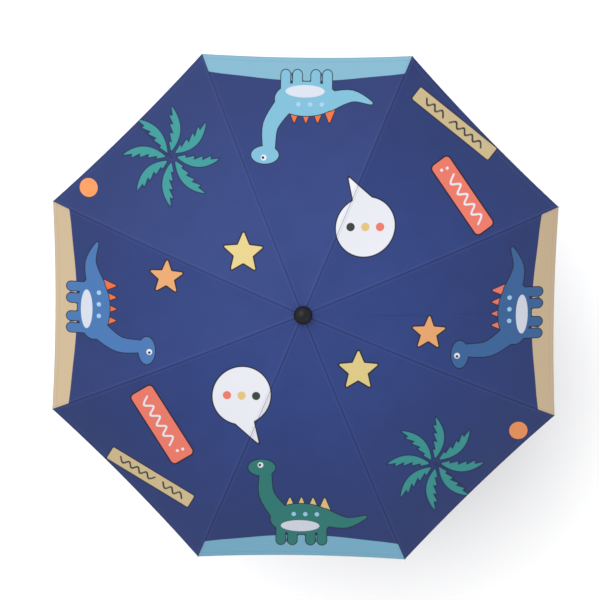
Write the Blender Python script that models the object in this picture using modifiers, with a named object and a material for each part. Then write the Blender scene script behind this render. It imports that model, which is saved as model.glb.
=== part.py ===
"""A children's stick umbrella with eight folding ribs, a sliding runner and a printed canopy.

Metres, +Z up along the shaft. The origin is the centre of the straight part of the handle's grip,
and the canopy's eight panels face +X, +Y, -X, -Y and the diagonals between them.
"""

import math

import bmesh
import bpy
from mathutils import Matrix, Vector

MM = 0.001
RIBS = 8
SECTOR = 2 * math.pi / RIBS
HALF_SECTOR = SECTOR / 2
GAP = 0.3 * MM

# Shaft, with its top in the cap and its foot in the handle
SHAFT_RADIUS = 4.5 * MM
SHAFT_WALL = 0.8 * MM
SHAFT_BORE = SHAFT_RADIUS + GAP
SHAFT_FOOT_Z = -40 * MM

# Crown: the slotted disc at the top of the shaft that the ribs hinge on
HINGE_Z = 520 * MM
CROWN_RING = 9.5 * MM
CROWN_RADIUS = 13 * MM
CROWN_SLEEVE = 6.8 * MM
CROWN_TOP = 1.8 * MM
CROWN_DISC_FOOT = -6 * MM
CROWN_FOOT = -18 * MM
RING_WIRE = 0.5 * MM

# Ribs: arcs that leave the crown nearly level and slope down to the rim
TIP_RADIUS = 420 * MM
RIB_START = math.radians(4)
RIB_END = math.radians(38)
RIB_WIRE = 1.2 * MM
RIB_STEPS = 12
CLOSED_TIP_RADIUS = 22 * MM
EYE_RADIUS = 1.7 * MM
BLADE = 1.4 * MM
BLADE_END = 16 * MM
SLOT = 2.2 * MM
EYE_BORE = 0.8 * MM

# Stretchers: straight struts from a bracket under each rib to the runner
BRACKET_X = 186 * MM
PIVOT_DROP = 3.4 * MM
STRETCHER_LENGTH = 215 * MM
STRETCHER_WIRE = 1.3 * MM
STRETCHER_BLADE_LENGTH = 9 * MM
PIN_RADIUS = 0.6 * MM
PIN_HALF_LENGTH = 1.9 * MM
CHEEK_INNER = 0.95 * MM
CHEEK_OUTER = 1.6 * MM

# Runner: the sleeve that slides on the shaft
RUNNER_RING = 12 * MM
RUNNER_FLANGE = 15 * MM
RUNNER_SLEEVE = 7.5 * MM
RUNNER_GRIP = 10.5 * MM
RUNNER_TOP = 4 * MM
RUNNER_FOOT = -30 * MM
KEYWAY_RADIUS = 8.3 * MM
KEYWAY_WIDTH = 3.2 * MM

# Catches: flat springs in slots of the shaft
CATCH_REACH = 7.6 * MM
CATCH_LENGTH = 24 * MM
CATCH_THICKNESS = 1.4 * MM
CATCH_SLOT = 2.2 * MM
CATCH_AXIS = 2.2 * MM

# Canopy: cloth panels that lie over the ribs
CLOTH_LIFT = 2.6 * MM
CLOTH = 0.8 * MM
CLOTH_SAG = 0.035
CLOTH_HOLE = 7.5 * MM
HEM_CURVE = 4 * MM
SEAM_GAP = 0.15 * MM

# Handle: a round grip that bends into a crook
GRIP_RADIUS = 10.5 * MM
GRIP_TOP_Z = 55 * MM
GRIP_FOOT_Z = -45 * MM
CROOK_RADIUS = 26 * MM
CROOK_RISE = 14 * MM
COLLAR_HEIGHT = 7 * MM

ARC_RADIUS = (TIP_RADIUS - CROWN_RING) / (math.sin(RIB_END) - math.sin(RIB_START))


# ---------------------------------------------------------------- geometry of the folding frame


def rib_slope(x):
    """Angle below level of a rib, x outward from its hinge."""
    return math.asin(math.sin(RIB_START) + x / ARC_RADIUS)


def rib_height(x):
    """Height of a rib's centre line above its hinge, x outward from the hinge."""
    return ARC_RADIUS * (math.cos(rib_slope(x)) - math.cos(RIB_START))


def bracket_pivot():
    """The stretcher's pivot under an open rib, from the rib's hinge: (outward, up)."""
    slope = rib_slope(BRACKET_X)
    outward = BRACKET_X - PIVOT_DROP * math.sin(slope)
    up = rib_height(BRACKET_X) - PIVOT_DROP * math.cos(slope)
    return outward, up


def turned_down(point, angle):
    """A point (outward, up) of a rib after the rib folds down by angle."""
    outward, up = point
    return (
        outward * math.cos(angle) + up * math.sin(angle),
        up * math.cos(angle) - outward * math.sin(angle),
    )


def fold_angle():
    """How far a rib turns from open to closed."""
    tip = TIP_RADIUS - CROWN_RING
    drop = -rib_height(tip)
    chord = math.hypot(tip, drop)
    return math.acos((CLOSED_TIP_RADIUS - CROWN_RING) / chord) - math.atan2(drop, tip)


def runner_height(pivot):
    """Height of the runner's ring from the ribs' hinges, for a pivot (outward, up), and the strut's slope."""
    across = CROWN_RING + pivot[0] - RUNNER_RING
    rise = math.sqrt(STRETCHER_LENGTH**2 - across**2)
    return pivot[1] - rise, math.atan2(rise, across)


OPEN_RUNNER, OPEN_STRUT = runner_height(bracket_pivot())
CLOSED_RUNNER, CLOSED_STRUT = runner_height(turned_down(bracket_pivot(), fold_angle()))
RUNNER_Z = HINGE_Z + OPEN_RUNNER


# ---------------------------------------------------------------- modelling helpers


def fresh_collection(name):
    collection = bpy.data.collections.new(name)
    bpy.context.scene.collection.children.link(collection)
    return collection


def material(name, colour, roughness, metallic=0.0):
    """A Principled material of one colour."""
    made = bpy.data.materials.new(name)
    made.use_nodes = True
    made.diffuse_color = (*colour, 1)
    shader = made.node_tree.nodes["Principled BSDF"]
    shader.inputs["Base Color"].default_value = (*colour, 1)
    shader.inputs["Roughness"].default_value = roughness
    shader.inputs["Metallic"].default_value = metallic
    return made


def add_object(name, mesh, look, parent=None, location=(0, 0, 0), rotation=(0, 0, 0)):
    """A part in the umbrella's collection, placed under its parent."""
    part = bpy.data.objects.new(name, mesh)
    PARTS.objects.link(part)
    part.parent = parent
    part.location = location
    part.rotation_euler = rotation
    if not mesh.materials:
        mesh.materials.append(look)
    return part


def cutter(name, mesh, location=(0, 0, 0), rotation=(0, 0, 0), parent=None):
    """A guide that is cut from, or joined to, a part."""
    guide = bpy.data.objects.new(name, mesh)
    CUTTERS.objects.link(guide)
    guide.parent = parent
    guide.location = location
    guide.rotation_euler = rotation
    guide.hide_render = True
    guide.display_type = "WIRE"
    return guide


def combine(part, guide, operation):
    """Adds one exact Boolean to a part."""
    modifier = part.modifiers.new(f"{operation.lower()}_{guide.name}", "BOOLEAN")
    modifier.object = guide
    modifier.operation = operation
    modifier.solver = "EXACT"


def finished_mesh(part, name):
    """The part's evaluated mesh as plain data; the part and its modifiers go."""
    graph = bpy.context.evaluated_depsgraph_get()
    mesh = bpy.data.meshes.new_from_object(part.evaluated_get(graph))
    mesh.name = name
    bpy.data.objects.remove(part)
    return mesh


def box_mesh(name, low, high):
    """A box between two corners."""
    low, high = Vector(low), Vector(high)
    size, centre = high - low, (high + low) / 2
    shape = bmesh.new()
    bmesh.ops.create_cube(shape, size=1, matrix=Matrix.Translation(centre) @ Matrix.Diagonal((*size, 1)))
    return bake(shape, name)


def rod_mesh(name, radius, length, segments=16, axis="Z"):
    """A cylinder centred on the origin, along one axis."""
    turn = {"Z": Matrix.Identity(4), "Y": Matrix.Rotation(math.pi / 2, 4, "X")}[axis]
    shape = bmesh.new()
    bmesh.ops.create_cone(
        shape, cap_ends=True, segments=segments, radius1=radius, radius2=radius, depth=length, matrix=turn
    )
    return bake(shape, name)


def bake(shape, name):
    mesh = bpy.data.meshes.new(name)
    shape.to_mesh(mesh)
    shape.free()
    return mesh


def turned(name, profile, look, steps=32, closed=True, **place):
    """A turned part: the profile (radius, height) runs down its outer side and back up its bore."""
    shape = bmesh.new()
    points = [shape.verts.new((radius, 0, height)) for radius, height in profile]
    pairs = list(zip(points, points[1:]))
    if closed:
        pairs.append((points[-1], points[0]))
    for start, end in pairs:
        shape.edges.new((start, end))
    part = add_object(name, bake(shape, name), look, **place)
    screw = part.modifiers.new("turn", "SCREW")
    screw.axis = "Z"
    screw.steps = steps
    screw.render_steps = steps
    screw.use_merge_vertices = True
    screw.merge_threshold = 0.00001
    return part


def swept_mesh(name, points, radius, resolution):
    """A closed round tube through the points."""
    curve = bpy.data.curves.new(name, "CURVE")
    curve.dimensions = "3D"
    curve.bevel_depth = radius
    curve.bevel_resolution = resolution
    curve.use_fill_caps = True
    spline = curve.splines.new("POLY")
    spline.points.add(len(points) - 1)
    for slot, point in zip(spline.points, points):
        slot.co = (*point, 1)
    holder = bpy.data.objects.new(name, curve)
    CUTTERS.objects.link(holder)
    mesh = finished_mesh(holder, name)
    bpy.data.curves.remove(curve)
    shape = bmesh.new()
    shape.from_mesh(mesh)
    bmesh.ops.remove_doubles(shape, verts=shape.verts, dist=0.00001)
    shape.to_mesh(mesh)
    shape.free()
    return mesh


def soften(part, angle=40):
    """Smooth shading between faces that meet at less than the angle."""
    part.data.shade_smooth()
    part.data.set_sharp_from_angle(angle=math.radians(angle))


def slots_for_ribs(part, name, low, high, inner, outer, parent=None):
    """Cuts one radial slot for each rib through a disc, from its inner radius outward."""
    mesh = box_mesh(name, (inner, -SLOT / 2, low), (outer, SLOT / 2, high))
    for index in range(RIBS):
        turn = (0, 0, HALF_SECTOR + index * SECTOR)
        guide = cutter(f"{name}_{index + 1}", mesh, rotation=turn, parent=parent)
        combine(part, guide, "DIFFERENCE")


# ---------------------------------------------------------------- shaft and what is fixed to it


def make_shaft():
    """The steel tube, with a slot for each catch."""
    top = HINGE_Z + 15 * MM
    inner = SHAFT_RADIUS - SHAFT_WALL
    profile = [(SHAFT_RADIUS, top), (SHAFT_RADIUS, SHAFT_FOOT_Z), (inner, SHAFT_FOOT_Z), (inner, top)]
    shaft = turned("shaft", profile, STEEL, steps=24)
    for name, shoulder, way in catches():
        heights = sorted((shoulder + way * MM, shoulder - way * (CATCH_LENGTH + 2 * MM)))
        mesh = box_mesh(f"{name}_slot", (0, -CATCH_SLOT / 2, heights[0]), (9 * MM, CATCH_SLOT / 2, heights[1]))
        combine(shaft, cutter(f"{name}_slot", mesh), "DIFFERENCE")
    soften(shaft)


def catches():
    """Each catch's name, the height of its shoulder, and which way the shoulder faces."""
    return (
        ("top_catch", RUNNER_Z + RUNNER_FOOT - 0.5 * MM, 1),
        ("bottom_catch", HINGE_Z + CLOSED_RUNNER + RUNNER_TOP + 0.5 * MM, -1),
    )


def make_catches():
    """Flat springs that stand out of the shaft and are pressed in with a thumb."""
    for name, shoulder, way in catches():
        pivot = shoulder - way * CATCH_LENGTH
        outline = [
            (-1.0 * MM, 1.5 * MM),
            (1.0 * MM, 0),
            (1.6 * MM, 4 * MM),
            (CATCH_REACH - CATCH_AXIS, CATCH_LENGTH - 2 * MM),
            (CATCH_REACH - CATCH_AXIS, CATCH_LENGTH),
            (-0.8 * MM, CATCH_LENGTH),
        ]
        shape = bmesh.new()
        side = [shape.verts.new((x, -CATCH_THICKNESS / 2, way * z)) for x, z in outline]
        face = shape.faces.new(side)
        grown = bmesh.ops.extrude_face_region(shape, geom=[face])
        moved = [item for item in grown["geom"] if isinstance(item, bmesh.types.BMVert)]
        bmesh.ops.translate(shape, verts=moved, vec=(0, CATCH_THICKNESS, 0))
        bmesh.ops.recalc_face_normals(shape, faces=shape.faces)
        add_object(name, bake(shape, name), STEEL, location=(CATCH_AXIS, 0, pivot))


def make_crown():
    """The slotted disc on the shaft, with a groove for the wire that the ribs hinge on."""
    low, high = HINGE_Z + CROWN_DISC_FOOT, HINGE_Z + CROWN_TOP
    groove, lip = 0.9 * MM, CROWN_RING - RING_WIRE - 0.4 * MM
    profile = [
        (CROWN_RADIUS, high),
        (CROWN_RADIUS, HINGE_Z + groove),
        (lip, HINGE_Z + groove),
        (lip, HINGE_Z - groove),
        (CROWN_RADIUS, HINGE_Z - groove),
        (CROWN_RADIUS, low),
        (CROWN_SLEEVE, low),
        (CROWN_SLEEVE, HINGE_Z + CROWN_FOOT),
        (SHAFT_BORE, HINGE_Z + CROWN_FOOT),
        (SHAFT_BORE, high),
    ]
    crown = turned("crown", profile, BLACK)
    slots_for_ribs(crown, "crown_slot", low - MM, high + MM, CROWN_SLEEVE + 0.3 * MM, CROWN_RADIUS + MM)
    soften(crown)


def make_ring_wire(name, radius, height, parent=None):
    """A wire ring that eyes hinge on."""
    section = [
        (radius + RING_WIRE * math.cos(turn), height - RING_WIRE * math.sin(turn))
        for turn in (math.tau * step / 6 for step in range(6))
    ]
    ring = turned(name, section, STEEL, parent=parent)
    soften(ring, 80)


def make_cap():
    """The round cap on top of the canopy, and the washer that it clamps the cloth with."""
    base = HINGE_Z + 5.2 * MM
    height, radius, flat = 15 * MM, 13.5 * MM, 5 * MM
    dome = [
        (flat + (radius - flat) * math.cos(turn), base + 3 * MM + (height - 3 * MM) * math.sin(turn))
        for turn in (math.pi / 2 * step / 5 for step in range(6))
    ]
    bore_top = HINGE_Z + 15 * MM + GAP
    profile = [(0, base + height)] + dome[::-1] + [(radius, base), (SHAFT_BORE, base)]
    profile += [(SHAFT_BORE, bore_top), (0, bore_top)]
    cap = turned("top_cap", profile, BLACK, closed=False)
    soften(cap)
    washer_foot, washer_top = HINGE_Z + 4.0 * MM, base - GAP
    washer = [(12 * MM, washer_top), (12 * MM, washer_foot), (SHAFT_BORE, washer_foot), (SHAFT_BORE, washer_top)]
    turned("cap_washer", washer, BLACK)


def make_stop_collar():
    """The ring crimped on the shaft that stops the runner at the top of its travel."""
    low = RUNNER_Z + RUNNER_TOP + 0.4 * MM
    profile = [(6.5 * MM, low + 5 * MM), (6.5 * MM, low), (SHAFT_BORE, low), (SHAFT_BORE, low + 5 * MM)]
    soften(turned("stop_collar", profile, STEEL, steps=24))


def make_handle():
    """The crook handle, bored for the shaft, and the collar on its top."""
    bend = [
        (CROOK_RADIUS - CROOK_RADIUS * math.cos(turn), 0, GRIP_FOOT_Z - CROOK_RADIUS * math.sin(turn))
        for turn in (math.pi * step / 12 for step in range(13))
    ]
    points = [(0, 0, GRIP_TOP_Z)] + bend + [(2 * CROOK_RADIUS, 0, GRIP_FOOT_Z + CROOK_RISE)]
    handle = add_object("handle", swept_mesh("handle", points, GRIP_RADIUS, 6), BLACK)
    bore = rod_mesh("handle_bore", SHAFT_BORE, 0.2, 24)
    combine(handle, cutter("handle_bore", bore, (0, 0, SHAFT_FOOT_Z - GAP + 0.1)), "DIFFERENCE")
    soften(handle)
    low = GRIP_TOP_Z + GAP
    high = low + COLLAR_HEIGHT
    outer = GRIP_RADIUS + MM
    profile = [(8 * MM, high), (outer, high - 3 * MM), (outer, low), (SHAFT_BORE, low), (SHAFT_BORE, high)]
    soften(turned("handle_collar", profile, STEEL))


# ---------------------------------------------------------------- runner


def make_runner():
    """The sliding sleeve: a slotted flange for the stretchers, and a keyway that clears the catches."""
    holder = bpy.data.objects.new("runner_ring_centre", None)
    PARTS.objects.link(holder)
    holder.location = (0, 0, RUNNER_Z)
    groove, lip = 0.9 * MM, RUNNER_RING - RING_WIRE - 0.4 * MM
    profile = [
        (RUNNER_FLANGE, RUNNER_TOP),
        (RUNNER_FLANGE, groove),
        (lip, groove),
        (lip, -groove),
        (RUNNER_FLANGE, -groove),
        (RUNNER_FLANGE, -RUNNER_TOP),
        (RUNNER_SLEEVE, -10 * MM),
        (RUNNER_SLEEVE, -23 * MM),
        (RUNNER_GRIP, -26 * MM),
        (RUNNER_GRIP, RUNNER_FOOT),
        (SHAFT_BORE, RUNNER_FOOT),
        (SHAFT_BORE, RUNNER_TOP),
    ]
    runner = turned("runner", profile, BLACK, parent=holder)
    slots_for_ribs(runner, "runner_slot", -11 * MM, 5 * MM, 9.4 * MM, RUNNER_FLANGE + MM, holder)
    half = KEYWAY_WIDTH / 2
    keyway = box_mesh("runner_keyway", (0, -half, RUNNER_FOOT - MM), (KEYWAY_RADIUS, half, RUNNER_TOP + MM))
    combine(runner, cutter("runner_keyway", keyway, parent=holder), "DIFFERENCE")
    soften(runner)
    make_ring_wire("runner_ring", RUNNER_RING, 0, parent=holder)


# ---------------------------------------------------------------- ribs, stretchers and tips


def rib_mesh():
    """A rib from its hinge: an eye on a flat blade, a round wire, and a bracket with a pivot pin."""
    tip = TIP_RADIUS - CROWN_RING
    start = BLADE_END - 6 * MM
    steps = [start + (tip - start) * step / RIB_STEPS for step in range(RIB_STEPS + 1)]
    wire = swept_mesh("rib_wire", [(x, 0, rib_height(x)) for x in steps], RIB_WIRE, 1)
    rib = add_object("rib_blank", wire, STEEL)
    slope = rib_slope(BLADE_END / 2)
    blade = box_mesh("rib_blade", (0, -BLADE / 2, -1.2 * MM), (BLADE_END, BLADE / 2, 1.2 * MM))
    combine(rib, cutter("rib_blade", blade, rotation=(0, slope, 0)), "UNION")
    eye = rod_mesh("rib_eye", EYE_RADIUS, BLADE, axis="Y")
    combine(rib, cutter("rib_eye", eye), "UNION")
    bore = rod_mesh("rib_eye_bore", EYE_BORE, 4 * BLADE, 12, "Y")
    combine(rib, cutter("rib_eye_bore", bore), "DIFFERENCE")
    pivot = bracket_pivot()
    place = ((pivot[0], 0, pivot[1]), (0, rib_slope(BRACKET_X), 0))
    for side in (-1, 1):
        inner, outer = sorted((side * CHEEK_INNER, side * CHEEK_OUTER))
        cheek = box_mesh("rib_cheek", (-2.6 * MM, inner, -1.7 * MM), (2.6 * MM, outer, PIVOT_DROP + 0.8 * MM))
        combine(rib, cutter(f"rib_cheek_{side}", cheek, *place), "UNION")
    pin = rod_mesh("rib_pin", PIN_RADIUS, 2 * PIN_HALF_LENGTH, 8, "Y")
    combine(rib, cutter("rib_pin", pin, *place), "UNION")
    return finished_mesh(rib, "rib")


def stretcher_mesh():
    """A stretcher from its pivot: an eye on a flat blade, a round strut, and a blade for the runner."""
    stop = STRETCHER_LENGTH - RING_WIRE - 0.5 * MM
    inset = STRETCHER_BLADE_LENGTH - 2 * MM
    points = [(inset, 0, 0), (stop - inset, 0, 0)]
    strut = add_object("stretcher_blank", swept_mesh("stretcher_wire", points, STRETCHER_WIRE, 2), STEEL)
    half = 1.5 * MM
    for name, start, end in (("outer", 0, STRETCHER_BLADE_LENGTH), ("inner", stop - STRETCHER_BLADE_LENGTH, stop)):
        blade = box_mesh(f"stretcher_{name}", (start, -BLADE / 2, -half), (end, BLADE / 2, half))
        combine(strut, cutter(f"stretcher_{name}", blade), "UNION")
    combine(strut, cutter("stretcher_eye", rod_mesh("stretcher_eye", EYE_RADIUS, BLADE, axis="Y")), "UNION")
    bore = rod_mesh("stretcher_bore", PIN_RADIUS + 0.3 * MM, 4 * BLADE, 12, "Y")
    combine(strut, cutter("stretcher_bore", bore), "DIFFERENCE")
    return finished_mesh(strut, "stretcher")


def tip_mesh():
    """The plastic cap on a rib's end, along +X, with a bore for the wire."""
    bore, outer = RIB_WIRE + GAP, 2.2 * MM
    profile = [(0, 4 * MM), (1.6 * MM, 3.4 * MM), (outer, 1.5 * MM), (outer, -6 * MM), (1.9 * MM, -8 * MM)]
    profile += [(bore, -8 * MM), (bore, GAP), (0, GAP)]
    tip = turned("tip_blank", profile, BLACK, steps=12, closed=False)
    mesh = finished_mesh(tip, "rib_tip")
    mesh.transform(Matrix.Rotation(math.pi / 2, 4, "Y"))
    return mesh


def panel_height(x, side):
    """Height of the cloth's underside over a rib's hinge, x outward along the rib and side across from it."""
    half = HALF_SECTOR
    along = (x + CROWN_RING) * math.cos(half) + abs(side) * math.sin(half)
    across = abs((x + CROWN_RING) * math.sin(half) - abs(side) * math.cos(half))
    edge = along * math.tan(half)
    sag = CLOTH_SAG * edge * (1 - (across / edge) ** 2)
    level = along / math.cos(half) - CROWN_RING
    return rib_height(level) + CLOTH_LIFT / math.cos(rib_slope(level)) - sag


def half_panel_mesh(name, side):
    """Half of a cloth panel, from the seam over the rib to the panel's middle, as a thin closed solid."""
    rows, columns = 9, 3
    reach = TIP_RADIUS * math.cos(HALF_SECTOR)
    edge = reach * math.tan(HALF_SECTOR)
    shape = bmesh.new()
    grid = []
    for row in range(rows + 1):
        scale = CLOTH_HOLE / TIP_RADIUS + (1 - CLOTH_HOLE / TIP_RADIUS) * row / rows
        line = []
        for column in range(columns + 1):
            share = column / columns
            across = edge * share * scale - SEAM_GAP * (share > 0.5) + SEAM_GAP * (share < 0.5)
            along = scale * (reach - HEM_CURVE * (1 - share**2))
            outward = along * math.cos(HALF_SECTOR) + across * math.sin(HALF_SECTOR) - CROWN_RING
            sideways = along * math.sin(HALF_SECTOR) - across * math.cos(HALF_SECTOR)
            sideways = max(sideways, SEAM_GAP)
            height = panel_height(outward, sideways)
            low = shape.verts.new((outward, side * sideways, height))
            high = shape.verts.new((outward, side * sideways, height + CLOTH))
            line.append((low, high))
        grid.append(line)
    for upper, lower in zip(grid, grid[1:]):
        for (a, b), (c, d) in zip(zip(upper, upper[1:]), zip(lower, lower[1:])):
            for level in (0, 1):
                shape.faces.new((a[level], b[level], d[level], c[level]))
    border = [line[0] for line in grid] + grid[-1][1:] + [line[-1] for line in grid[-2::-1]] + grid[0][-2:0:-1]
    for here, there in zip(border, border[1:] + border[:1]):
        shape.faces.new((here[0], there[0], there[1], here[1]))
    bmesh.ops.recalc_face_normals(shape, faces=shape.faces)
    mesh = bake(shape, name)
    mesh.shade_smooth()
    mesh.set_sharp_from_angle(angle=math.radians(40))
    return mesh


def make_folding_frame():
    """Eight ribs on the crown, each with its tip, its stretcher and the two halves of cloth beside it."""
    rib, strut, tip = rib_mesh(), stretcher_mesh(), tip_mesh()
    halves = {"left": half_panel_mesh("half_panel_left", 1), "right": half_panel_mesh("half_panel_right", -1)}
    for mesh in (rib, strut, tip):
        mesh.shade_smooth()
        mesh.set_sharp_from_angle(angle=math.radians(40))
    end = TIP_RADIUS - CROWN_RING
    pivot = bracket_pivot()
    for index in range(RIBS):
        number = index + 1
        turn = HALF_SECTOR + index * SECTOR
        hinge = (CROWN_RING * math.cos(turn), CROWN_RING * math.sin(turn), HINGE_Z)
        arm = add_object(f"rib_{number}", rib, STEEL, location=hinge, rotation=(0, 0, turn))
        add_object(f"rib_tip_{number}", tip, BLACK, arm, (end, 0, rib_height(end)), (0, rib_slope(end), 0))
        add_object(
            f"stretcher_{number}", strut, STEEL, arm, (pivot[0], 0, pivot[1]), (0, math.pi - OPEN_STRUT, 0)
        )
        for side, mesh in halves.items():
            add_object(f"canopy_{number}_{side}", mesh, CLOTH_BLUE, arm)
        if number == STRAP_RIB:
            make_strap(arm)


# ---------------------------------------------------------------- tie strap

STRAP_RIB = 6
STRAP_START = 215 * MM
STRAP_LENGTH = 120 * MM
STRAP_SIDE = 4 * MM
STRAP_WIDTH = 12 * MM
STRAP_THICKNESS = 0.8 * MM


def make_strap(arm):
    """The strap that ties the closed canopy, lying under the cloth beside a rib, and its press stud."""
    steps = 6
    shape = bmesh.new()
    grid = []
    for step in range(steps + 1):
        x = STRAP_START + STRAP_LENGTH * step / steps
        line = []
        for side in (STRAP_SIDE, STRAP_SIDE + STRAP_WIDTH):
            height = panel_height(x, side) - 0.5 * MM
            line += [shape.verts.new((x, side, height)), shape.verts.new((x, side, height - STRAP_THICKNESS))]
        grid.append((line[0], line[2], line[3], line[1]))
    for here, there in zip(grid, grid[1:]):
        for corner in range(4):
            after = (corner + 1) % 4
            shape.faces.new((here[corner], here[after], there[after], there[corner]))
    shape.faces.new(grid[0])
    shape.faces.new(grid[-1])
    bmesh.ops.recalc_face_normals(shape, faces=shape.faces)
    add_object("tie_strap", bake(shape, "tie_strap"), CLOTH_BLUE, arm)
    x = STRAP_START + STRAP_LENGTH - 9 * MM
    side = STRAP_SIDE + STRAP_WIDTH / 2
    height = panel_height(x, side) - 0.5 * MM - STRAP_THICKNESS
    stud = rod_mesh("tie_stud", 4.5 * MM, 1.6 * MM, 20)
    slope = rib_slope(x)
    drop = 2.4 * MM
    place = (x - drop * math.sin(slope), side, height - drop * math.cos(slope))
    add_object("tie_stud", stud, STEEL, arm, place, (0, slope, 0))


# ---------------------------------------------------------------- the umbrella


for leftover in list(bpy.data.objects):
    bpy.data.objects.remove(leftover)
PARTS = fresh_collection("childrens_umbrella")
CUTTERS = fresh_collection("cutters")
STEEL = material("steel", (0.62, 0.63, 0.65), 0.3, 1.0)
BLACK = material("black_plastic", (0.02, 0.02, 0.022), 0.4)
CLOTH_BLUE = material("blue_cloth", (0.045, 0.07, 0.27), 0.75)

make_shaft()
make_catches()
make_crown()
make_ring_wire("crown_ring", CROWN_RING, HINGE_Z)
make_cap()
make_stop_collar()
make_handle()
make_runner()
make_folding_frame()
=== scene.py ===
"""Looks of a child's stick umbrella: a printed eight-panel canopy, steel ribs and a crook handle."""

import logging
import math
from collections.abc import Callable, Sequence
from dataclasses import dataclass, field
from enum import Enum

import bmesh
import bpy
import numpy as np
from mathutils import Matrix, Vector


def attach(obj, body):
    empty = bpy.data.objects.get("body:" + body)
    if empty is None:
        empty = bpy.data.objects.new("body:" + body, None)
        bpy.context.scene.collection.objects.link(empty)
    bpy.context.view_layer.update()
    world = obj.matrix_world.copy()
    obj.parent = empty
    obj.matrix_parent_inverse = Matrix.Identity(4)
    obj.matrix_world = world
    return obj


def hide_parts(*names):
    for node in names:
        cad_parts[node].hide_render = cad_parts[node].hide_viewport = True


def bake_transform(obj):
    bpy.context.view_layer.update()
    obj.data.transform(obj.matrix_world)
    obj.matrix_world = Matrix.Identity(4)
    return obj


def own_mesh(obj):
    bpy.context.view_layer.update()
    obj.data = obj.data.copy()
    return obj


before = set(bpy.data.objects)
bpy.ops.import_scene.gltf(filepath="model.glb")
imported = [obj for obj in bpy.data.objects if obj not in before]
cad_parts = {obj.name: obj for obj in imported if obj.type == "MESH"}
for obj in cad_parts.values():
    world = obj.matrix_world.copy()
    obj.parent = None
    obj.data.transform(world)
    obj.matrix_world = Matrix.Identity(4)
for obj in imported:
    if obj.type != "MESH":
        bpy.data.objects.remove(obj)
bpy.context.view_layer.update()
LOG = logging.getLogger("umbrella")

MM = 0.001
RIBS = 8
STEP = 2 * math.pi / RIBS
HALF_STEP = STEP / 2
HINGE_Z = 520.0
CROWN_RING = 9.5
TIP_RADIUS = 420.0
RIB_START = math.radians(4)
RIB_END = math.radians(38)
ARC_RADIUS = (TIP_RADIUS - CROWN_RING) / (math.sin(RIB_END) - math.sin(RIB_START))
FOLD = math.radians(67.371)
REACH = TIP_RADIUS * math.cos(HALF_STEP)
HALF_EDGE = TIP_RADIUS * math.sin(HALF_STEP)

Field = np.ndarray
Point = tuple[float, float]
Rgb = tuple[float, float, float]


def rib_slope(level: Field | float) -> Field | float:
    """Slope of a rib, in radians, at a distance out from its hinge."""
    return np.arcsin(math.sin(RIB_START) + level / ARC_RADIUS)


def rib_height(level: Field | float) -> Field | float:
    """Height of a rib above its hinge, in mm, at a distance out from the hinge."""
    return ARC_RADIUS * (np.cos(rib_slope(level)) - math.cos(RIB_START))


def closed_radius(level: Field | float) -> Field | float:
    """Distance of a rib from the shaft's middle, in mm, when the umbrella is shut."""
    return CROWN_RING + level * math.cos(FOLD) + rib_height(level) * math.sin(FOLD)


def linear(colour: Rgb) -> tuple[float, float, float, float]:
    """A colour of 0 to 255 as light values.

    Args:
        colour: Red, green and blue as a paint chart gives them.

    Returns:
        The four numbers a colour socket takes.
    """
    parts = [c / 255 for c in colour]
    light = [p / 12.92 if p <= 0.04045 else ((p + 0.055) / 1.055) ** 2.4 for p in parts]
    return (*light, 1.0)


class Wire:
    """One shader value that adds Math nodes when it is used in an expression."""

    def __init__(self, shader: "Shader", socket: bpy.types.NodeSocket) -> None:
        """Keeps the shader and the socket that gives the value."""
        self.shader = shader
        self.socket = socket

    def __add__(self, other: "Wire | float") -> "Wire":
        """Sum."""
        return self.shader.math("ADD", self, other)

    __radd__ = __add__

    def __sub__(self, other: "Wire | float") -> "Wire":
        """Difference."""
        return self.shader.math("SUBTRACT", self, other)

    def __rsub__(self, other: "Wire | float") -> "Wire":
        """Difference, the other way."""
        return self.shader.math("SUBTRACT", other, self)

    def __mul__(self, other: "Wire | float") -> "Wire":
        """Product."""
        return self.shader.math("MULTIPLY", self, other)

    __rmul__ = __mul__

    def __truediv__(self, other: "Wire | float") -> "Wire":
        """Quotient."""
        return self.shader.math("DIVIDE", self, other)

    def __mod__(self, other: "Wire | float") -> "Wire":
        """Remainder, never below nought."""
        return self.shader.math("FLOORED_MODULO", self, other)

    def __abs__(self) -> "Wire":
        """Size without its sign."""
        return self.shader.math("ABSOLUTE", self)

    def within(self, edge: float, soft: float) -> "Wire":
        """1 where the value is below an edge and 0 above it.

        Args:
            edge: Value at the middle of the change.
            soft: How wide the change is.

        Returns:
            The mask.
        """
        return self.shader.math("MULTIPLY_ADD", self, -1 / soft, edge / soft + 0.5, clamp=True)


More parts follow.
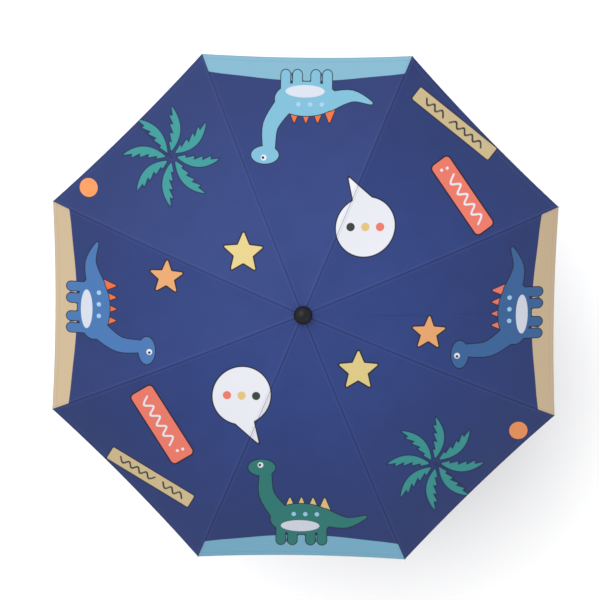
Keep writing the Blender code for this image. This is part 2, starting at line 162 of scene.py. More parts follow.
class Shader:
    """A material built by expressions."""

    def __init__(self, name: str) -> None:
        """Makes an empty material with its output node."""
        self.material = bpy.data.materials.new(name)
        self.material.use_nodes = True
        self.tree = self.material.node_tree
        self.tree.nodes.clear()

    def node(self, kind: str, settings: dict | None = None, values: dict | None = None) -> bpy.types.Node:
        """Adds any node.

        Args:
            kind: The node's type.
            settings: Its own settings, set before its values.
            values: Values or wires of its inputs, by name or number.

        Returns:
            The node.
        """
        made = self.tree.nodes.new(kind)
        for key, value in (settings or {}).items():
            setattr(made, key, value)
        for key, value in (values or {}).items():
            if isinstance(value, Wire):
                self.tree.links.new(value.socket, made.inputs[key])
            elif value is not None:
                made.inputs[key].default_value = value
        return made

    def math(self, operation: str, *terms: "Wire | float", clamp: bool = False) -> Wire:
        """Adds one Math node and gives its result."""
        settings = {"operation": operation, "use_clamp": clamp}
        made = self.node("ShaderNodeMath", settings, dict(enumerate(terms)))
        return Wire(self, made.outputs[0])

    def blend(self, share: "Wire | float", under: "Wire | tuple", over: "Wire | tuple") -> Wire:
        """Mixes two colours by a share of the second."""
        made = self.node("ShaderNodeMix", {"data_type": "RGBA"}, {0: share, 6: under, 7: over})
        return Wire(self, made.outputs[2])

    def place(self) -> Wire:
        """The point in the piece's own space."""
        return Wire(self, self.node("ShaderNodeTexCoord").outputs["Object"])

    def layer(self, name: str) -> Wire:
        """A number stored on the mesh."""
        made = self.node("ShaderNodeAttribute", {"attribute_type": "GEOMETRY", "attribute_name": name})
        return Wire(self, made.outputs["Fac"])

    def noise(self, scale: float, detail: float = 2.0, stretch: tuple | None = None) -> Wire:
        """Smooth noise of 0 to 1.

        Args:
            scale: Grains to a metre.
            detail: How many finer octaves.
            stretch: Scale of each axis, where the grain has a direction.

        Returns:
            The noise.
        """
        point = self.place()
        if stretch:
            made = self.node("ShaderNodeMapping", None, {"Vector": point, "Scale": stretch})
            point = Wire(self, made.outputs[0])
        made = self.node("ShaderNodeTexNoise", None, {"Vector": point, "Scale": scale, "Detail": detail})
        return Wire(self, made.outputs[0])

    def bump(self, height: Wire, depth: float, strength: float = 1.0) -> Wire:
        """A surface turned by a height map of 0 to 1, depth metres deep."""
        values = {"Height": height, "Distance": depth, "Strength": strength}
        made = self.node("ShaderNodeBump", None, values)
        return Wire(self, made.outputs[0])

    def done(self, **values: "Wire | float | tuple") -> bpy.types.Material:
        """Adds the surface and the output.

        Args:
            **values: The surface's inputs, with _ for each space in their names.

        Returns:
            The material.
        """
        named = {key.replace("_", " "): value for key, value in values.items()}
        surface = self.node("ShaderNodeBsdfPrincipled", None, named)
        self.node("ShaderNodeOutputMaterial", None, {"Surface": Wire(self, surface.outputs[0])})
        return self.material


class Ink(Enum):
    """Printing colours."""

    DARK = (26, 26, 40)
    WHITE = (204, 205, 212)
    SKY = (113, 157, 177)
    SEA = (106, 156, 180)
    TEAL_PALE = (109, 162, 185)
    BELLY = (188, 192, 204)
    CORAL = (208, 107, 91)
    ORANGE = (205, 98, 58)
    OLIVE = (51, 56, 54)
    GREEN = (39, 107, 102)
    YELLOW = (200, 172, 110)
    SAND = (181, 161, 131)
    TAN = (182, 163, 124)
    BLUE = (61, 103, 156)
    BLUE_DEEP = (50, 88, 136)
    ICE = (140, 180, 206)
    STAR_ORANGE = (205, 147, 98)
    STAR_YELLOW = (198, 180, 120)
    PALM = (48, 131, 129)
    TRUNK = (32, 44, 86)
    FRUIT = (212, 133, 80)
    SHADOW = (28, 36, 80)


class Shape:
    """A flat printed shape."""

    def distance(self, u: Field, v: Field) -> Field:
        """Distance from the shape's edge in mm, below nought inside it."""
        raise NotImplementedError


def flow(points: Sequence[Point], closed: bool, steps: int = 5) -> list[Point]:
    """A smooth line through a few points.

    Args:
        points: The points, in order.
        closed: Whether the line comes back to its start.
        steps: Pieces between two points.

    Returns:
        The finer points.
    """
    ring = np.array(points, float)
    count = len(ring)
    spans = count if closed else count - 1
    fine: list[Point] = []
    for i in range(spans):
        pick = [(i + k) % count if closed else min(max(i + k, 0), count - 1) for k in (-1, 0, 1, 2)]
        a, b, c, d = ring[pick]
        for t in np.arange(steps) / steps:
            square, cube = 2 * a - 5 * b + 4 * c - d, 3 * b - a - 3 * c + d
            p = 0.5 * (2 * b + (c - a) * t + square * t**2 + cube * t**3)
            fine.append((p[0], p[1]))
    if not closed:
        fine.append(tuple(ring[-1]))
    return fine


@dataclass(frozen=True)
class Oval(Shape):
    """A disc or an ellipse."""

    u: float
    v: float
    wide: float
    high: float = 0.0
    turn: float = 0.0

    def distance(self, u: Field, v: Field) -> Field:
        """Distance from the ellipse's edge, close to true near it."""
        angle, high = math.radians(self.turn), self.high or self.wide
        along = (u - self.u) * math.cos(angle) + (v - self.v) * math.sin(angle)
        across = (v - self.v) * math.cos(angle) - (u - self.u) * math.sin(angle)
        near = np.maximum(np.hypot(along / self.wide, across / high), 1e-4)
        pull = np.maximum(np.hypot(along / self.wide**2, across / high**2), 1e-4 / min(self.wide, high))
        return near * (near - 1) / pull


@dataclass(frozen=True)
class Stroke(Shape):
    """A round-ended line through a few points, even or tapering."""

    points: tuple[Point, ...]
    thick: float = 1.0
    end: float = 0.0
    curved: bool = True

    def distance(self, u: Field, v: Field) -> Field:
        """Distance from the line's edge."""
        path = flow(self.points, False) if self.curved and len(self.points) > 2 else list(self.points)
        last = self.end or self.thick
        best = np.full_like(u, 1e3)
        for i, ((au, av), (bu, bv)) in enumerate(zip(path, path[1:])):
            du, dv = bu - au, bv - av
            t = np.clip(((u - au) * du + (v - av) * dv) / max(du * du + dv * dv, 1e-9), 0, 1)
            girth = self.thick + (last - self.thick) * (i + t) / (len(path) - 1)
            best = np.minimum(best, np.hypot(u - au - t * du, v - av - t * dv) - girth)
        return best


@dataclass(frozen=True)
class Patch(Shape):
    """A filled outline through a few points."""

    points: tuple[Point, ...]
    curved: bool = True
    round: float = 0.0

    def ring(self) -> list[Point]:
        """The outline's points."""
        return flow(self.points, True) if self.curved else list(self.points)

    def distance(self, u: Field, v: Field) -> Field:
        """Distance from the outline."""
        ring = self.ring()
        best, inside = np.full_like(u, 1e6), np.zeros(u.shape, bool)
        for (au, av), (bu, bv) in zip(ring, ring[1:] + ring[:1]):
            du, dv = bu - au, bv - av
            t = np.clip(((u - au) * du + (v - av) * dv) / max(du * du + dv * dv, 1e-9), 0, 1)
            best = np.minimum(best, (u - au - t * du) ** 2 + (v - av - t * dv) ** 2)
            if av != bv:
                inside ^= ((av > v) != (bv > v)) & (u < au + (v - av) * du / dv)
        return np.where(inside, -1, 1) * np.sqrt(best) - self.round


@dataclass(frozen=True)
class Star(Patch):
    """A five-pointed star with soft tips."""

    points: tuple[Point, ...] = ()
    u: float = 0.0
    v: float = 0.0
    size: float = 30.0
    turn: float = 0.0
    waist: float = 0.5

    def ring(self) -> list[Point]:
        """The star's ten corners."""
        ring = []
        for i in range(10):
            angle = math.radians(self.turn + 36 * i)
            arm = (self.size if i % 2 == 0 else self.size * self.waist) - self.round
            ring.append((self.u + arm * math.sin(angle), self.v + arm * math.cos(angle)))
        return ring


@dataclass(frozen=True)
class Board(Patch):
    """A board with round corners."""

    points: tuple[Point, ...] = ()
    u: float = 0.0
    v: float = 0.0
    length: float = 100.0
    width: float = 30.0
    turn: float = 0.0

    def ring(self) -> list[Point]:
        """The board's four corners, inside its rounding."""
        angle = math.radians(self.turn)
        a, b = self.length / 2 - self.round, self.width / 2 - self.round
        ring = []
        for x, y in ((a, b), (-a, b), (-a, -b), (a, -b)):
            ring.append((self.u + x * math.cos(angle) - y * math.sin(angle),
                         self.v + x * math.sin(angle) + y * math.cos(angle)))
        return ring


@dataclass(frozen=True)
class Squiggle(Stroke):
    """A wavy line that stands for writing."""

    points: tuple[Point, ...] = ()
    u: float = 0.0
    v: float = 0.0
    length: float = 80.0
    turn: float = 0.0
    swing: float = 5.0
    waves: float = 5.0

    def distance(self, u: Field, v: Field) -> Field:
        """Distance from the wavy line's edge."""
        angle = math.radians(self.turn)
        path = []
        for i in range(int(self.waves * 2) + 1):
            x = self.length * (i / (self.waves * 2) - 0.5)
            y = self.swing * (1 if i % 2 else -1)
            path.append((self.u + x * math.cos(angle) - y * math.sin(angle),
                         self.v + x * math.sin(angle) + y * math.cos(angle)))
        return Stroke(tuple(path), self.thick).distance(u, v)


@dataclass(frozen=True)
class Frond(Patch):
    """A palm leaf: a smooth outer edge and a toothed inner one."""

    points: tuple[Point, ...] = ()
    base: Point = (0.0, 0.0)
    tip: Point = (0.0, 1.0)
    belly: Point = (0.0, 0.5)
    girth: float = 14.0
    teeth: int = 5

    def ring(self) -> list[Point]:
        """The outer edge out to the tip, and back by the teeth."""
        base, tip, belly = (np.array(p, float) for p in (self.base, self.tip, self.belly))
        peak = 2 * belly - (base + tip) / 2
        chord = (base + tip) / 2 - belly
        inward = chord / max(np.hypot(*chord), 1e-6)

        def outer(t: float) -> np.ndarray:
            """Point of the outer edge at a share of its length."""
            return base * (1 - t) ** 2 + 2 * peak * t * (1 - t) + tip * t**2

        ring = [tuple(outer(t)) for t in np.linspace(0, 1, 11)]
        for i in range(self.teeth):
            for share, reach in ((0.2, 0.55), (0.0, 1.0)):
                t = 1 - (i + 0.95 + share) / (self.teeth + 1.0)
                swell = (4 * t * (1 - t)) ** 0.6
                ring.append(tuple(outer(t) + inward * self.girth * swell * reach))
        return ring


@dataclass(frozen=True)
class Turned(Shape):
    """A shape of the next panel, as it runs over the seam onto this one."""

    shape: Shape
    panels: int

    def distance(self, u: Field, v: Field) -> Field:
        """The shape's distance, measured in its own panel."""
        angle = STEP * self.panels
        across = u * math.cos(angle) + v * math.sin(angle)
        return self.shape.distance(across, v * math.cos(angle) - u * math.sin(angle))


@dataclass(frozen=True)
class Layer:
    """Shapes printed in one colour, with a dark line round them where the edge has a width."""

    name: str
    ink: Ink
    shapes: tuple[Shape, ...]
    edge: float = 0.0
    edge_ink: Ink = Ink.DARK

    def distance(self, u: Field, v: Field) -> Field:
        """Distance from the nearest of the shapes."""
        best = self.shapes[0].distance(u, v)
        for shape in self.shapes[1:]:
            best = np.minimum(best, shape.distance(u, v))
        return best


def dots(*places: tuple[float, float, float]) -> tuple[Shape, ...]:
    """Discs at (u, v, radius) places."""
    return tuple(Oval(u, v, r) for u, v, r in places)


@dataclass(frozen=True)
class BubbleArt:
    """A plain speech bubble: an ellipse, a straight tail and three dots."""

    u: float
    v: float
    wide: float = 44.0
    high: float = 46.0

    def layers(self, panels: int = 0) -> list[Layer]:
        """The bubble's layers.

        Args:
            panels: How many panels round the bubble's own panel is, 0 on its own.

        Returns:
            Layers from the lowest to the uppermost.
        """
        u, v = self.u, self.v
        tail = Patch(((u + 20, v + 38), (u + 40, v + 14), (u + 72, v + 34)), False, 0.4)
        shapes: tuple[Shape, ...] = (Oval(u, v, self.wide, self.high), tail)
        if panels:
            shapes = tuple(Turned(shape, panels) for shape in shapes)
        made = [Layer("bubble", Ink.WHITE, shapes, 2.0)]
        if not panels:
            for i, ink in enumerate((Ink.CORAL, Ink.YELLOW, Ink.OLIVE)):
                spot = 16.0 * (i - 1)
                made.append(Layer(f"mark_{i}", ink, (Oval(u + spot, v - spot, 6.5),)))
        return made


class Design:
    """One panel's print."""

    name: str

    def layers(self) -> list[Layer]:
        """The print's layers, from the lowest to the uppermost."""
        return []


@dataclass(frozen=True)
class PalmDesign(Design):
    """A plain palm crown of even fronds, an orange disc and a yellow star."""

    name: str
    star_v: float = 132.0
    star_turn: float = 27.0
    centre: Point = (-20.0, 312.0)
    fronds: int = 8
    reach: float = 74.0
    start: float = 9.0
    bow: float = 13.0

    def frond(self, number: int) -> Frond:
        """One frond, bowed to one side of its own straight line."""
        angle = 2 * math.pi * number / self.fronds
        out, side = (math.cos(angle), math.sin(angle)), (-math.sin(angle), math.cos(angle))

        def point(along: float, aside: float) -> Point:
            """A place along the frond and beside it."""
            return (self.centre[0] + out[0] * along + side[0] * aside,
                    self.centre[1] + out[1] * along + side[1] * aside)

        middle = (self.start + self.reach) / 2
        return Frond(base=point(self.start, 0), tip=point(self.reach, 0), belly=point(middle, self.bow),
                     girth=15, teeth=4, round=0.4)

    def layers(self) -> list[Layer]:
        """The crown, the orange disc at the rim and the star near the hub."""
        u, v = self.centre
        return [
            Layer("trunk", Ink.TRUNK, (Stroke(((u, v), (u, v + 74)), 3.5, 6, False),)),
            Layer("palm", Ink.PALM, tuple(self.frond(i) for i in range(self.fronds)), 1.7, Ink.SHADOW),
            Layer("orange", Ink.FRUIT, (Oval(106, 366, 14),), 1.0, Ink.SHADOW),
            Layer("star", Ink.STAR_YELLOW,
                  (Star(u=0, v=self.star_v, size=31, turn=self.star_turn, waist=0.48, round=1.2),), 2.2),
        ]


@dataclass(frozen=True)
class SignDesign(Design):
    """A coral sign, a plank and a speech bubble."""

    name: str
    sign: tuple[float, float, float, float]
    plank: tuple[float, float, float, float]
    bubble: BubbleArt

    def layers(self) -> list[Layer]:
        """Boards with wavy lines on them, and the bubble."""
        su, sv, st, width = self.sign
        pu, pv, pt, length = self.plank
        fall = math.tan(math.radians(-pt))
        made = [
            Layer("sign", Ink.CORAL, (Board(u=su, v=sv, length=126, width=width, turn=st, round=6),), 2.2),
            Layer("sign_line", Ink.WHITE, (
                Squiggle((), 1.5, u=su - 8, v=sv, length=84, turn=st, swing=6, waves=4.5),
                *dots((su + 46, sv + 12, 2.4), (su + 50, sv + 4, 2.4)),)),
            Layer("plank", Ink.TAN, (Board(u=pu, v=pv, length=length, width=21, turn=pt, round=0.8),), 1.5),
            Layer("plank_line", Ink.OLIVE, (
                Squiggle((), 1.4, u=pu - 24, v=pv + 24 * fall, length=62, turn=pt, swing=3.6, waves=4),
                Squiggle((), 1.4, u=pu + 38, v=pv - 38 * fall, length=38, turn=pt, swing=3.8, waves=2.5),)),
        ]
        return made + self.bubble.layers()


@dataclass(frozen=True)
class DinosaurDesign(Design):
    """A plain long-necked dinosaur in side view, made of ellipses and strokes, on a hill at the rim."""

    name: str
    skin: Ink
    plates: Ink
    ground: Ink
    face: int = 1
    star: tuple[float, float, float] | None = None
    bubble: BubbleArt | None = None

    def layers(self) -> list[Layer]:
        """Hill, back plates, body, belly, spots, eye, and what else the panel carries."""
        f = self.face
        hill = Patch(((-175, 372), (-90, 357), (0, 351), (90, 357), (175, 372), (175, 420), (-175, 420)))
        plates = tuple(
            Patch(((f * x - 8, 309), (f * x + 8, 309), (f * x, 290)), False, 0.4) for x in (-36, -18, 0, 18)
        )
        legs = tuple(Stroke(((f * x, 335), (f * x, 360)), 7, curved=False) for x in (-32, -14, 14, 32))
        body = (
            Oval(0, 325, 48, 25),
            Stroke(((f * -36, 322), (f * -70, 330), (f * -100, 320)), 14, 2),
            Stroke(((f * 34, 316), (f * 54, 286), (f * 56, 252)), 14, 9),
            Oval(f * 62, 242, 21, 13),
        )
        made = [
            Layer("hill", self.ground, (hill,)),
            Layer("plates", self.plates, plates, 1.3),
            Layer("body", self.skin, legs + body, 1.3),
            Layer("belly", Ink.BELLY, (Oval(f * 2, 336, 30, 9),)),
            Layer("spots", Ink.ICE, dots(*((f * x, 317, 3.5) for x in (-24, -6, 12)))),
            Layer("eye", Ink.WHITE, dots((f * 64, 238, 4.5))),
            Layer("pupil", Ink.DARK, dots((f * 65, 238, 2.2))),
        ]
        if self.star:
            u, v, turn = self.star
            star = Star(u=u, v=v, size=26, turn=turn, waist=0.46, round=1.4)
            made.append(Layer("star", Ink.STAR_ORANGE, (star,), 2.0))
        return made + (self.bubble.layers(1) if self.bubble else [])


WEST_BUBBLE = BubbleArt(24, 157)
EAST_BUBBLE = BubbleArt(29, 162)
DESIGNS: tuple[Design, ...] = (
    DinosaurDesign("dinosaur_east", Ink.BLUE_DEEP, Ink.CORAL, Ink.SAND, -1, (-28, 194, 88)),
    SignDesign("signs_east", (-43, 299, 9.5, 31), (43, 364, -6.5, 150), EAST_BUBBLE),
    DinosaurDesign("dinosaur_north", Ink.TEAL_PALE, Ink.ORANGE, Ink.SKY, 1, None, EAST_BUBBLE),
    PalmDesign("palm_west"),
    DinosaurDesign("dinosaur_west", Ink.BLUE, Ink.ORANGE, Ink.SAND, 1, (-53, 212, -92)),
    SignDesign("signs_west", (-28, 280, 12.5, 38), (20, 353, -15, 146), WEST_BUBBLE),
    DinosaurDesign("dinosaur_south", Ink.GREEN, Ink.YELLOW, Ink.SEA, -1, None, WEST_BUBBLE),
    PalmDesign("palm_east", 122.0, 135.0),
)


@dataclass(frozen=True)
class PrintedCloth:
    """Thin polyester cloth with a print on its outer side that shows faintly through."""

    shine: float = 0.6
    gleam: float = 0.18
    soft: float = 0.7
    # Span in mm over which the painted rim shade comes in.
    rim_shade_span: float = 260.0
    pitch: float = 3.2

    def outer(self, design: Design) -> bpy.types.Material:
        """The printed side."""
        return self._make(design, f"cloth_{design.name}", 1.0)

    def inner(self, design: Design) -> bpy.types.Material:
        """The unprinted side."""
        return self._make(design, f"lining_{design.name}", 0.22)

    def _make(self, design: Design, name: str, strength: float) -> bpy.types.Material:
        """Builds either side.

        Args:
            design: The panel's print.
            name: The material's name.
            strength: How much of the print shows.

        Returns:
            The material.
        """
        shader = Shader(name)
        mottle = shader.noise(26, 3)
        cloth = shader.blend(mottle, linear((36, 53, 108)), linear((42, 60, 118)))
        # Painted shade: the cloth darkens towards the rim, where the canopy slopes away from the light.
        painted_rim_shade = shader.math("MULTIPLY_ADD", shader.layer("panel_v"), 1 / self.rim_shade_span, -0.5, clamp=True)
        colour = shader.blend(painted_rim_shade * 0.5, cloth, linear((28, 38, 76)))
        for layer in design.layers():
            gap = shader.layer(f"{design.name}.{layer.name}")
            if layer.edge:
                outline = gap.within(layer.edge, self.soft)
                colour = shader.blend(outline, colour, linear(layer.edge_ink.value))
            colour = shader.blend(gap.within(0, self.soft), colour, linear(layer.ink.value))
        if strength < 1:
            colour = shader.blend(strength, linear((36, 46, 94)), colour)
        seam, rim = shader.layer("seam_gap"), shader.layer("rim_gap")
        u, v = shader.layer("panel_u"), shader.layer("panel_v")
        stitch_seam = abs(seam - 3.0).within(0.4, 0.4) * (v % self.pitch).within(2.3, 0.3)
        stitch_rim = abs(rim - 7.0).within(0.4, 0.4) * (u % self.pitch).within(2.3, 0.3)
        # Thin dark lines along each seam and the hem's edge: partly the sewn seam and hem, partly painted
        # shade in their creases.
        lines = shader.math("MAXIMUM", seam.within(0.55, 0.5), rim.within(0.5, 0.5))
        colour = shader.blend(lines * 0.6, colour, linear((18, 22, 50)))
        stitches = shader.math("MAXIMUM", stitch_seam, stitch_rim)
        colour = shader.blend(stitches * 0.35, colour, linear((82, 92, 150)))
        weave = shader.noise(1500, 1) * 0.5 + shader.noise(420, 2) * 0.5
        normal = shader.bump(weave + stitches * 0.8, 0.00025, 0.35)
        return shader.done(
            Base_Color=colour, Roughness=self.shine, Normal=normal, Specular_IOR_Level=self.gleam
        )


@dataclass(frozen=True)
class Steel:
    """Bright plated steel wire and tube."""

    name: str = "plated_steel"
    shade: Rgb = (196, 198, 202)
    polish: float = 0.24

    def make(self) -> bpy.types.Material:
        """Builds the finish, with fine drawing lines and a few dull patches."""
        shader = Shader(self.name)
        dull = shader.noise(140, 3)
        grain = shader.noise(900, 2, (1, 1, 0.12))
        colour = shader.blend(dull * 0.35, linear(self.shade), linear((150, 152, 158)))
        rough = dull * 0.16 + self.polish
        return shader.done(
            Base_Color=colour, Metallic=1.0, Roughness=rough, Normal=shader.bump(grain, 0.0001, 0.15)
        )


@dataclass(frozen=True)
class Plastic:
    """Moulded plastic with a fine satin grain."""

    name: str
    shade: Rgb
    gloss: float = 0.36
    gleam: float = 0.5

    def make(self) -> bpy.types.Material:
        """Builds the finish, with slight rubbing of its gloss."""
        shader = Shader(self.name)
        wear = shader.noise(90, 3)
        lighter = tuple(min(255.0, c + 9) for c in self.shade)
        colour = shader.blend(wear * 0.6, linear(self.shade), linear(lighter))
        return shader.done(
            Base_Color=colour, Roughness=wear * 0.14 + self.gloss, Specular_IOR_Level=self.gleam,
            Normal=shader.bump(shader.noise(1600, 2), 0.0001, 0.2),
        )


@dataclass(frozen=True)
class Webbing:
    """Woven tape."""

    name: str = "tape_weave"
    shade: Rgb = (58, 68, 136)

    def make(self) -> bpy.types.Material:
        """Builds the finish."""
        shader = Shader(self.name)
        fuzz = shader.noise(1200, 2)
        colour = shader.blend(fuzz, linear(self.shade), linear((78, 90, 160)))
        return shader.done(Base_Color=colour, Roughness=0.62, Normal=shader.bump(fuzz, 0.0003, 0.4))


class Side(Enum):
    """The two halves of cloth that a rib carries."""

    LEFT = 1
    RIGHT = -1


@dataclass
class Canopy:
    """The cloth: a band over each rib, and the rest of each half panel beside it."""

    lift: float = 2.6
    cloth: float = 0.8
    sheet: float = 0.4
    sag: float = 0.035
    hem_curve: float = 4.0
    start: float = 7.5 / TIP_RADIUS
    band_share: float = 0.385
    crowd: float = 0.8
    rows: int = 190
    columns: int = 64
    band_columns: int = 28
    fold_tilt: float = 14.0
    fold_lift: float = 14.0
    bend: tuple[float, float] = (0.5, 7.0)
    keep: float = 0.05
    rim_z: float = 362.0
    print_gain: float = 0.065
    band_cut: float = 0.042
    half_cut: float = 0.150
    finish: PrintedCloth = field(default_factory=PrintedCloth)
    skins: dict[str, bpy.types.Material] = field(default_factory=dict)

    def skin(self, gore: int, inner: bool) -> bpy.types.Material:
        """The material of one side of a panel, made once."""
        design = DESIGNS[gore % RIBS]
        key = f"{design.name}{inner}"
        if key not in self.skins:
            self.skins[key] = self.finish.inner(design) if inner else self.finish.outer(design)
        return self.skins[key]

    def seam_share(self, reach: Field) -> Field:
        """Where the band ends, as a share of the panel's half width, at shares of the way out."""
        half = HALF_EDGE * math.cos(HALF_STEP) * reach
        level = np.maximum(TIP_RADIUS * reach - CROWN_RING, 0)
        wide = np.minimum(self.band_share * closed_radius(level), 0.9 * half)
        return 1 - wide / half

    def surface(self, gore: Field, reach: Field, share: Field) -> tuple[Field, dict[str, Field]]:
        """Places points of the cloth.

        Args:
            gore: The panel of each point.
            reach: Share of the way from the hub to the rim.
            share: Share of the way from the panel's middle to its rib, signed.

        Returns:
            The points in metres, and each point's panel measures in mm.
        """
        along = reach * (REACH - self.hem_curve * (1 - share**2))
        across = HALF_EDGE * share * reach
        level = along / math.cos(HALF_STEP) - CROWN_RING
        edge = along * math.tan(HALF_STEP)
        low = self.sag * edge * (1 - np.clip(across / edge, -1, 1) ** 2)
        seam = (1 - np.abs(share)) * HALF_EDGE * reach * math.cos(HALF_STEP)
        rim = (1 - reach) * REACH
        top = self.lift / np.cos(rib_slope(level)) + self.cloth * 0.8
        fell = 0.12 * np.clip(1.6 - seam / 1.6, 0, 1) + 0.3 * np.clip(4.2 - rim / 2.0, 0, 1)
        slack = np.clip(seam / 40, 0, 1) * np.clip(rim / 60 + 0.3, 0, 1)
        ripple = 0.7 * np.sin(across / 21 + 1.3 * gore) * np.sin(along / 38 + 2.1 * gore) * slack
        height = HINGE_Z + rib_height(level) + top - low + fell + ripple
        turn = STEP * gore
        x = along * np.cos(turn) - across * np.sin(turn)
        y = along * np.sin(turn) + across * np.cos(turn)
        measures = {"panel_u": across, "panel_v": along, "seam_gap": seam, "rim_gap": rim}
        return np.stack([x, y, height], 1) * MM, measures

    def weave(self, name: str, columns: int, put: Callable, gores: Sequence[int]) -> bpy.types.Object:
        """Makes one piece of cloth from a grid.

        Args:
            name: The piece's name.
            columns: Squares across it.
            put: Gives panel, reach and share for grid places of 0 to 1.
            gores: The panels it belongs to.

        Returns:
            The piece.
        """
        bm = bmesh.new()
        bmesh.ops.create_grid(bm, x_segments=columns, y_segments=self.rows, size=0.5)
        for edge in bm.edges:
            edge.smooth = not edge.is_boundary
        mesh = bpy.data.meshes.new(name)
        bm.to_mesh(mesh)
        bm.free()
        grid = np.empty(len(mesh.vertices) * 3)
        mesh.vertices.foreach_get("co", grid)
        a, b = grid.reshape(-1, 3)[:, 0] + 0.5, grid.reshape(-1, 3)[:, 1] + 0.5
        reach = self.start + (1 - self.start) * b**self.crowd
        gore, share = put(a, reach)
        points, measures = self.surface(gore, reach, share)
        mesh.vertices.foreach_set("co", points.ravel())
        x, y, z = points.T / MM
        flat = 1 + self.print_gain * (z - self.rim_z) / (HINGE_Z - self.rim_z)
        for panel in gores:
            design, turn = DESIGNS[panel % RIBS], STEP * panel
            u = (y * math.cos(turn) - x * math.sin(turn)) * flat
            v = (x * math.cos(turn) + y * math.sin(turn)) * flat
            for layer in design.layers():
                measures[f"{design.name}.{layer.name}"] = np.clip(layer.distance(u, v), -40, 40)
        for key, values in measures.items():
            mesh.attributes.new(key, "FLOAT", "POINT").data.foreach_set("value", values.astype(np.float32))
        mesh.update()
        if sum(p.normal.z for p in mesh.polygons) < 0:
            mesh.flip_normals()
        mesh.shade_smooth()
        piece = bpy.data.objects.new(name, mesh)
        bpy.context.collection.objects.link(piece)
        for inner in (False, True):
            for panel in gores:
                mesh.materials.append(self.skin(panel, inner))
        return piece

    def thicken(self, piece: bpy.types.Object, panels: int) -> None:
        """Gives a piece its thickness, with the lining on the inner side."""
        solid = piece.modifiers.new("thickness", "SOLIDIFY")
        solid.thickness, solid.offset = self.sheet * MM, -1
        solid.material_offset = panels

    def build_band(self, rib: int) -> bpy.types.Object:
        """Makes the strip of cloth over a rib, on both sides of its seam."""

        def put(a: Field, reach: Field) -> tuple[Field, Field]:
            """Left side of the seam first."""
            side = 1 - 2 * a
            share = 1 - np.abs(side) * (1 - self.seam_share(reach))
            return np.where(side >= 0, rib, rib - 1), np.where(side >= 0, -share, share)

        piece = self.weave(f"canopy_band_{rib}", self.band_columns, put, (rib, rib - 1))
        middle = STEP * rib - HALF_STEP
        for face in piece.data.polygons:
            beyond = face.center.y * math.cos(middle) - face.center.x * math.sin(middle) < 0
            face.material_index = int(beyond)
        self.thicken(piece, 2)
        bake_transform(piece)
        return piece

    def build_half(self, rib: int, side: Side) -> bpy.types.Object:
        """Makes the rest of one half panel, from its band to the panel's middle."""
        gore = rib if side is Side.LEFT else rib - 1

        def put(a: Field, reach: Field) -> tuple[Field, Field]:
            """Panel's middle at 0."""
            share = a * self.seam_share(reach)
            return np.full_like(a, gore), -side.value * share

        piece = self.weave(f"half_panel_{rib}_{side.name.lower()}", self.columns, put, (gore,))
        self.thicken(piece, 1)
        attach(piece, f"rib_{rib}")
        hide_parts(f"canopy_{rib}_{side.name.lower()}")
        turn = STEP * rib - HALF_STEP
        out = Vector((math.cos(turn), math.sin(turn), 0))
        beside = Vector((-math.sin(turn), math.cos(turn), 0)) * side.value
        drop = float(rib_height(TIP_RADIUS - CROWN_RING))
        chord = (out * (TIP_RADIUS - CROWN_RING) + Vector((0, 0, drop))).normalized()
        above = (Vector((0, 0, 1)) - chord * chord.z).normalized()
        tilt = math.radians(self.fold_tilt)
        axis = beside * math.cos(tilt) - above * math.sin(tilt)
        anchor = (out * CROWN_RING + Vector((0, 0, HINGE_Z)) + above * self.fold_lift) * MM
        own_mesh(piece)
        return piece

    def build(self) -> None:
        """Makes all the cloth."""
        for rib in range(1, RIBS + 1):
            self.build_band(rib)
            for side in Side:
                self.build_half(rib, side)
            LOG.info("cloth of rib %d", rib)


@dataclass
class Hardware:
    """The metal and plastic under the cloth."""

    steel: Steel = field(default_factory=Steel)
    black: Plastic = field(default_factory=lambda: Plastic("black_plastic_grain", (17, 17, 20), 0.34, 0.2))
    white: Plastic = field(default_factory=lambda: Plastic("white_plastic_grain", (222, 223, 226)))
    tape: Webbing = field(default_factory=Webbing)
    turns: int = 64

    def spun(self, name: str, outline: Sequence[Point]) -> bpy.types.Object:
        """Turns an outline round the shaft.

        Args:
            name: The piece's name.
            outline: Radius and height of each corner, in mm.

        Returns:
            The piece.
        """
        bm = bmesh.new()
        line = [bm.verts.new((r * MM, 0, z * MM)) for r, z in outline]
        edges = [bm.edges.new(pair) for pair in zip(line, line[1:])]
        bmesh.ops.spin(bm, geom=line + edges, cent=(0, 0, 0), axis=(0, 0, 1), angle=2 * math.pi,
                       steps=self.turns, use_merge=True)
        bmesh.ops.remove_doubles(bm, verts=bm.verts, dist=1e-6)
        bmesh.ops.recalc_face_normals(bm, faces=bm.faces)
        mesh = bpy.data.meshes.new(name)
        bm.to_mesh(mesh)
        bm.free()
        mesh.shade_smooth()
        mesh.set_sharp_from_angle(angle=math.radians(40))
        piece = bpy.data.objects.new(name, mesh)
        bpy.context.collection.objects.link(piece)
        return piece

    def build_cap(self, finish: bpy.types.Material) -> None:
        """Makes the domed cap over the end of the shaft."""
        cap = self.spun("cap_dome", (
            (0, 535.2), (4.6, 535.2), (4.6, 525.3), (12.8, 525.3), (13.2, 525.5), (13.4, 526.0),
            (13.4, 527.6), (13.1, 529.4), (12.4, 531.6), (11.2, 533.9), (9.6, 536.1), (7.8, 537.9),
            (6.0, 539.1), (4.2, 539.8), (2.2, 540.1), (0, 540.2),
        ))
        cap.data.materials.append(finish)
        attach(cap, "shaft_assembly")
        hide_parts("top_cap")

    def dress(self) -> None:
        """Gives each CAD piece its finish."""
        steel, black, tape = self.steel.make(), self.black.make(), self.tape.make()
        white = self.white.make()
        for name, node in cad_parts.items():
            if name in ("top_cap", "cap_washer", "crown", "runner", "handle"):
                finish = black
            elif name.startswith("rib_tip"):
                finish = white
            elif name.startswith("tie_strap"):
                finish = tape
            else:
                finish = steel
            node.data.materials.clear()
            node.data.materials.append(finish)
        self.build_cap(black)
        LOG.info("hardware dressed")


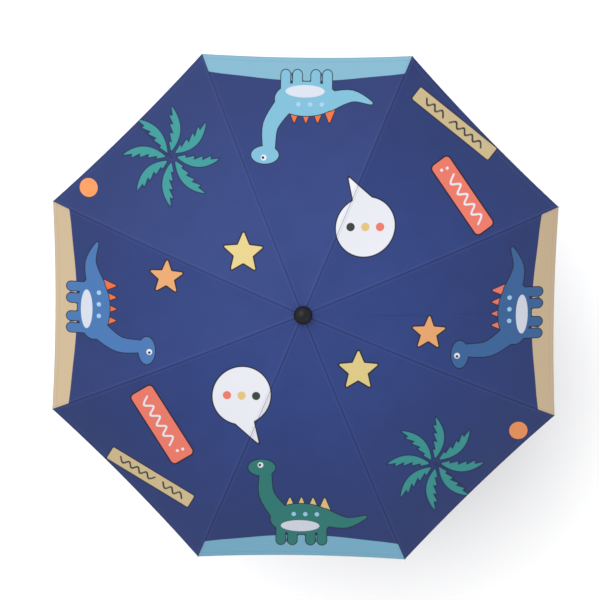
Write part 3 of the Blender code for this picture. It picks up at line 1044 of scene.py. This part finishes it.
@dataclass
class Studio:
    """A pale floor, soft light and the camera."""

    floor_z: float = -84.0
    distance: float = 2.6
    aim: tuple[float, float, float] = (-0.0066, 0.0128, 0.362)
    lean: tuple[float, float, float] = (0.0127, 0.056, 1.0)
    roll: float = 0.65
    lens_per_metre: float = 38.9

    def build(self) -> None:
        """Sets the floor, the lamps, the world and the camera."""
        bm = bmesh.new()
        bmesh.ops.create_grid(bm, x_segments=1, y_segments=1, size=4)
        mesh = bpy.data.meshes.new("floor")
        bm.to_mesh(mesh)
        bm.free()
        floor = bpy.data.objects.new("floor", mesh)
        floor.location.z = self.floor_z * MM
        bpy.context.collection.objects.link(floor)
        mesh.materials.append(Shader("floor_paper").done(Base_Color=(0.96, 0.96, 0.96, 1), Roughness=0.9))
        self.sun()
        self.lamp("window", (-0.9, 1.9, 2.1), 1.6, 17)
        self.lamp("fill", (1.9, -1.6, 2.4), 2.0, 8)
        world = bpy.data.worlds.new("studio")
        world.use_nodes = True
        world.node_tree.nodes["Background"].inputs[0].default_value = (1, 1, 1, 1)
        world.node_tree.nodes["Background"].inputs[1].default_value = 0.82
        bpy.context.scene.world = world
        bpy.context.scene.view_settings.view_transform = "Standard"
        self.camera()

    def sun(self) -> None:
        """Hangs the wide, soft main light."""
        data = bpy.data.lights.new("main_light", "SUN")
        data.energy, data.angle = 1.45, math.radians(50)
        sun = bpy.data.objects.new("main_light", data)
        sun.rotation_euler = Vector((-0.42, 0.38, 1.0)).to_track_quat("Z", "Y").to_euler()
        bpy.context.collection.objects.link(sun)

    def lamp(self, name: str, place: tuple[float, float, float], size: float, power: float) -> None:
        """Hangs one square soft lamp, turned to the canopy."""
        data = bpy.data.lights.new(name, "AREA")
        data.energy, data.size = power, size
        lamp = bpy.data.objects.new(name, data)
        lamp.location = place
        lamp.rotation_euler = (Vector((0, 0, 0.4)) - Vector(place)).to_track_quat("-Z", "Y").to_euler()
        bpy.context.collection.objects.link(lamp)

    def camera(self) -> None:
        """Sets the camera, looking down on the canopy."""
        data = bpy.data.cameras.new("camera")
        data.sensor_width = 36
        data.lens = self.lens_per_metre * self.distance
        camera = bpy.data.objects.new("camera", data)
        away = Vector(self.lean).normalized()
        aim = Vector(self.aim)
        up = Matrix.Rotation(math.radians(self.roll), 3, "Z") @ Vector((0, 1, 0))
        side = up.cross(away).normalized()
        top = away.cross(side)
        turn = Matrix((side, top, away)).transposed().to_4x4()
        camera.matrix_world = Matrix.Translation(aim + away * self.distance) @ turn
        bpy.context.collection.objects.link(camera)
        bpy.context.scene.camera = camera


def main() -> None:
    """Builds and dresses the umbrella."""
    logging.basicConfig(level=logging.INFO, format="%(message)s")
    Hardware().dress()
    Canopy().build()
    Studio().build()


if __name__ == "__main__":
    main()
